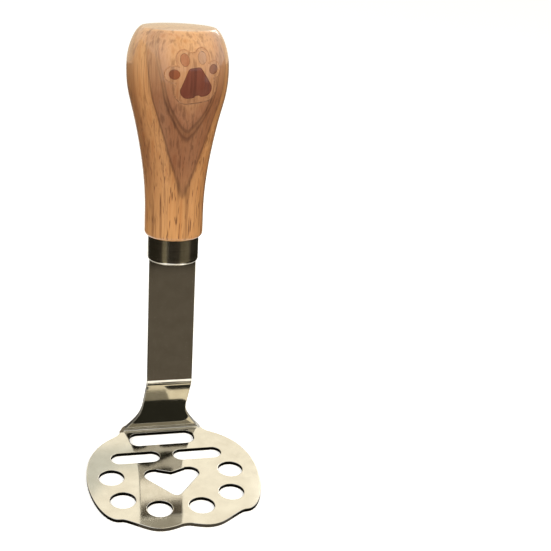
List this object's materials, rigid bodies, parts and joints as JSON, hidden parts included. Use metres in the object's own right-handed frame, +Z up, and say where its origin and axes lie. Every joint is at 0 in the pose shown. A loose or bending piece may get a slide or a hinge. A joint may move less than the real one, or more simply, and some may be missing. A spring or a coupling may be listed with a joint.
{
  "type": "potato masher",
  "caption": "Potato masher with a flat perforated steel plate, a bent strap stem, a ferrule and a bulbous turned wooden handle.",
  "frame": {"origin": "where the handle's axis meets the underside of the plate, on the metal between the two short slots", "axes": "+Z up from the plate's underside, -Y to the front edge of the plate, +X to the right seen from the front"},
  "size_m": [0.0852, 0.1056, 0.2168],
  "materials": {
    "polished_stainless": "mirror polished sheet",
    "stainless_ferrule": "fine turned, polished",
    "handle_wood": "clear gloss lacquer",
    "resin": "cast",
    "paw_ground_wood": "clear gloss lacquer",
    "paw_pad_wood": "clear gloss lacquer"
  },
  "bodies": {
    "root": {"masher_head": "polished_stainless", "ferrule": "stainless_ferrule", "handle_body": "handle_wood", "tang_adhesive": "resin", "paw_ground": "paw_ground_wood", "paw_main_pad": "paw_pad_wood", "paw_toe_left_outer": "paw_pad_wood", "paw_toe_left_inner": "paw_pad_wood", "paw_toe_right_inner": "paw_pad_wood", "paw_toe_right_outer": "paw_pad_wood"}
  },
  "joints": []
}
